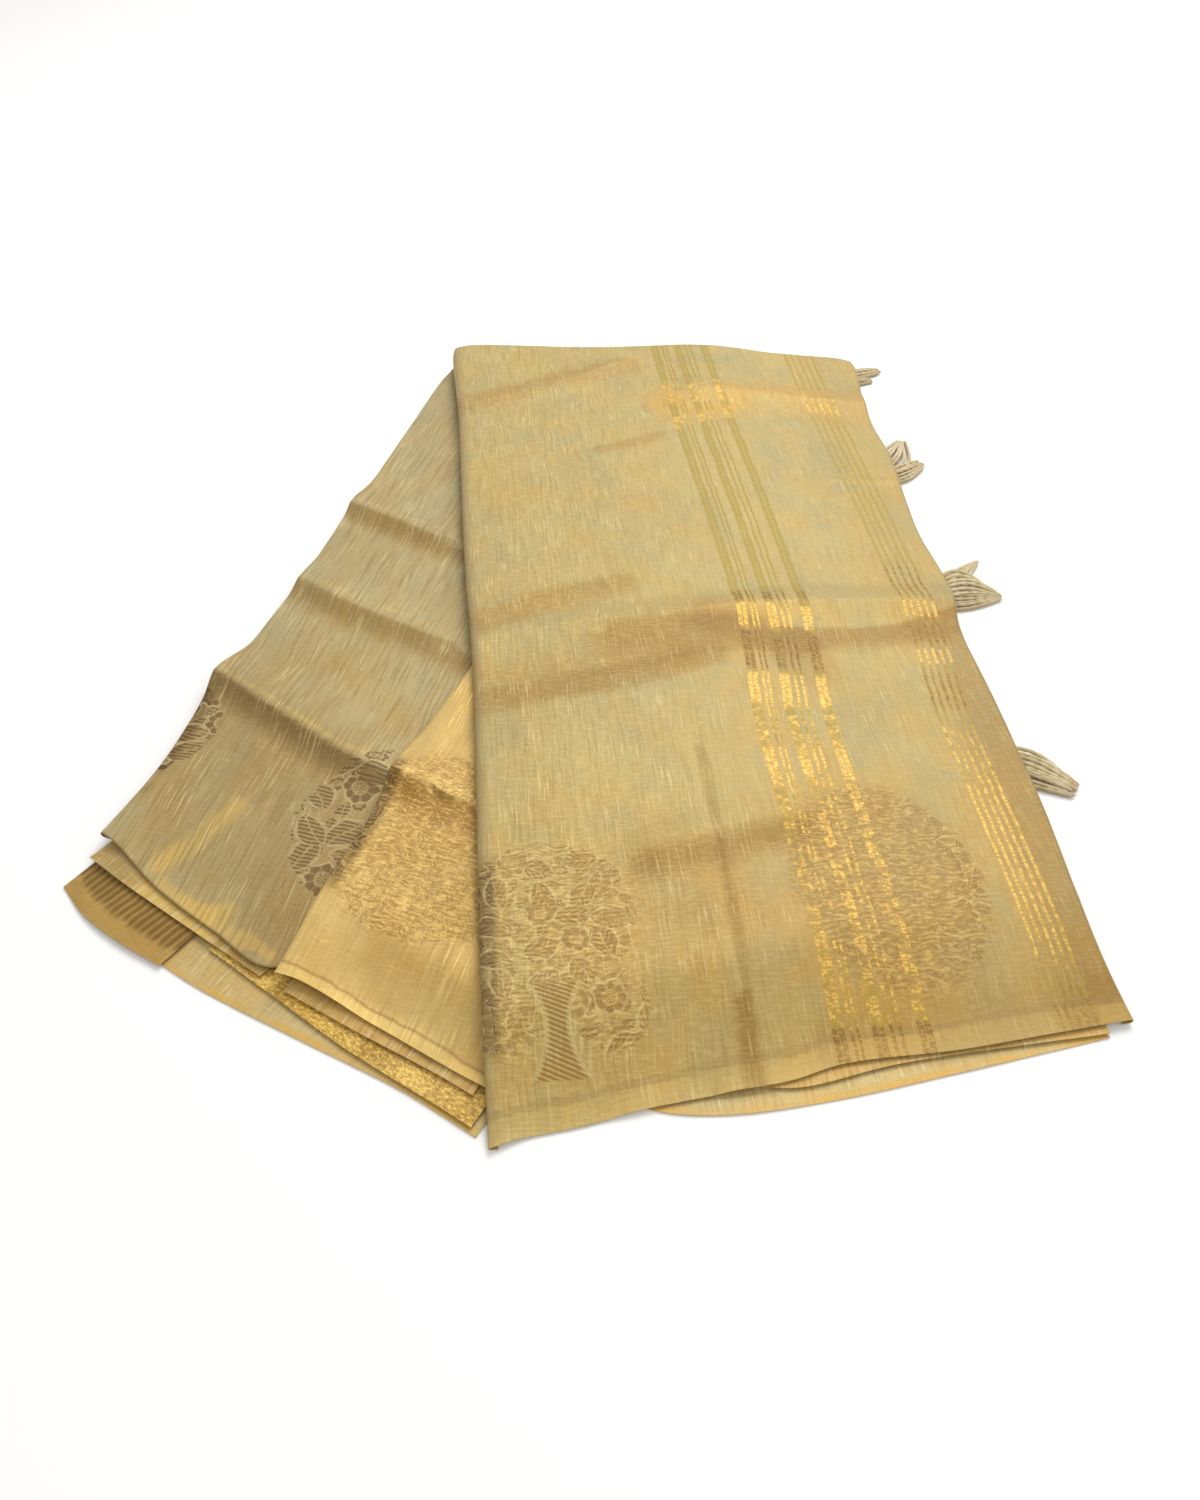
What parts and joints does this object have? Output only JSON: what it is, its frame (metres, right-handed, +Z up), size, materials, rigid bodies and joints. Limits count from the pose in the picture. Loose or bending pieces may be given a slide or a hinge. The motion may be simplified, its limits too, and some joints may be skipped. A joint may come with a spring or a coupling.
{
  "type": "folded saree",
  "caption": "Saree of tissue cloth folded flat, its striped end piece on top, its body fanned out beside it, with woven borders and short tassels.",
  "frame": {"origin": "on the surface that the folded saree lies on, under the middle of its box", "axes": "+Z up; +Y away from the near hem, along the folded end piece; +X from the fanned body towards the tassels"},
  "size_m": [0.4559, 0.5708, 0.0223],
  "materials": {
    "pallu_cloth": "tissue weave in pale gold, with metallic stripes and brocade motifs",
    "body_cloth": "slubbed tissue weave in greyed beige with a gold sheen",
    "inner_cloth": "tissue weave in bright gold",
    "woven_border": "metallic border with woven bars",
    "zari": "crinkled metallic thread",
    "hem": "pale plain weave with a gold selvedge",
    "hidden_layers": "tissue weave seen at its folded edges",
    "tassel_cotton": "twisted cream cotton"
  },
  "bodies": {
    "root": {"folded_stack": "hidden_layers", "body_top": "body_cloth", "body_under": "body_cloth", "inner_panel": "inner_cloth", "inner_under": "inner_cloth", "pallu_top": "pallu_cloth", "pallu_mid": "pallu_cloth", "pallu_lower": "body_cloth", "ribbed_border": "woven_border", "zari_band": "zari", "hem_strip": "hem", "tassel_1": "tassel_cotton", "tassel_2": "tassel_cotton", "tassel_3": "tassel_cotton", "tassel_4": "tassel_cotton"}
  },
  "joints": []
}
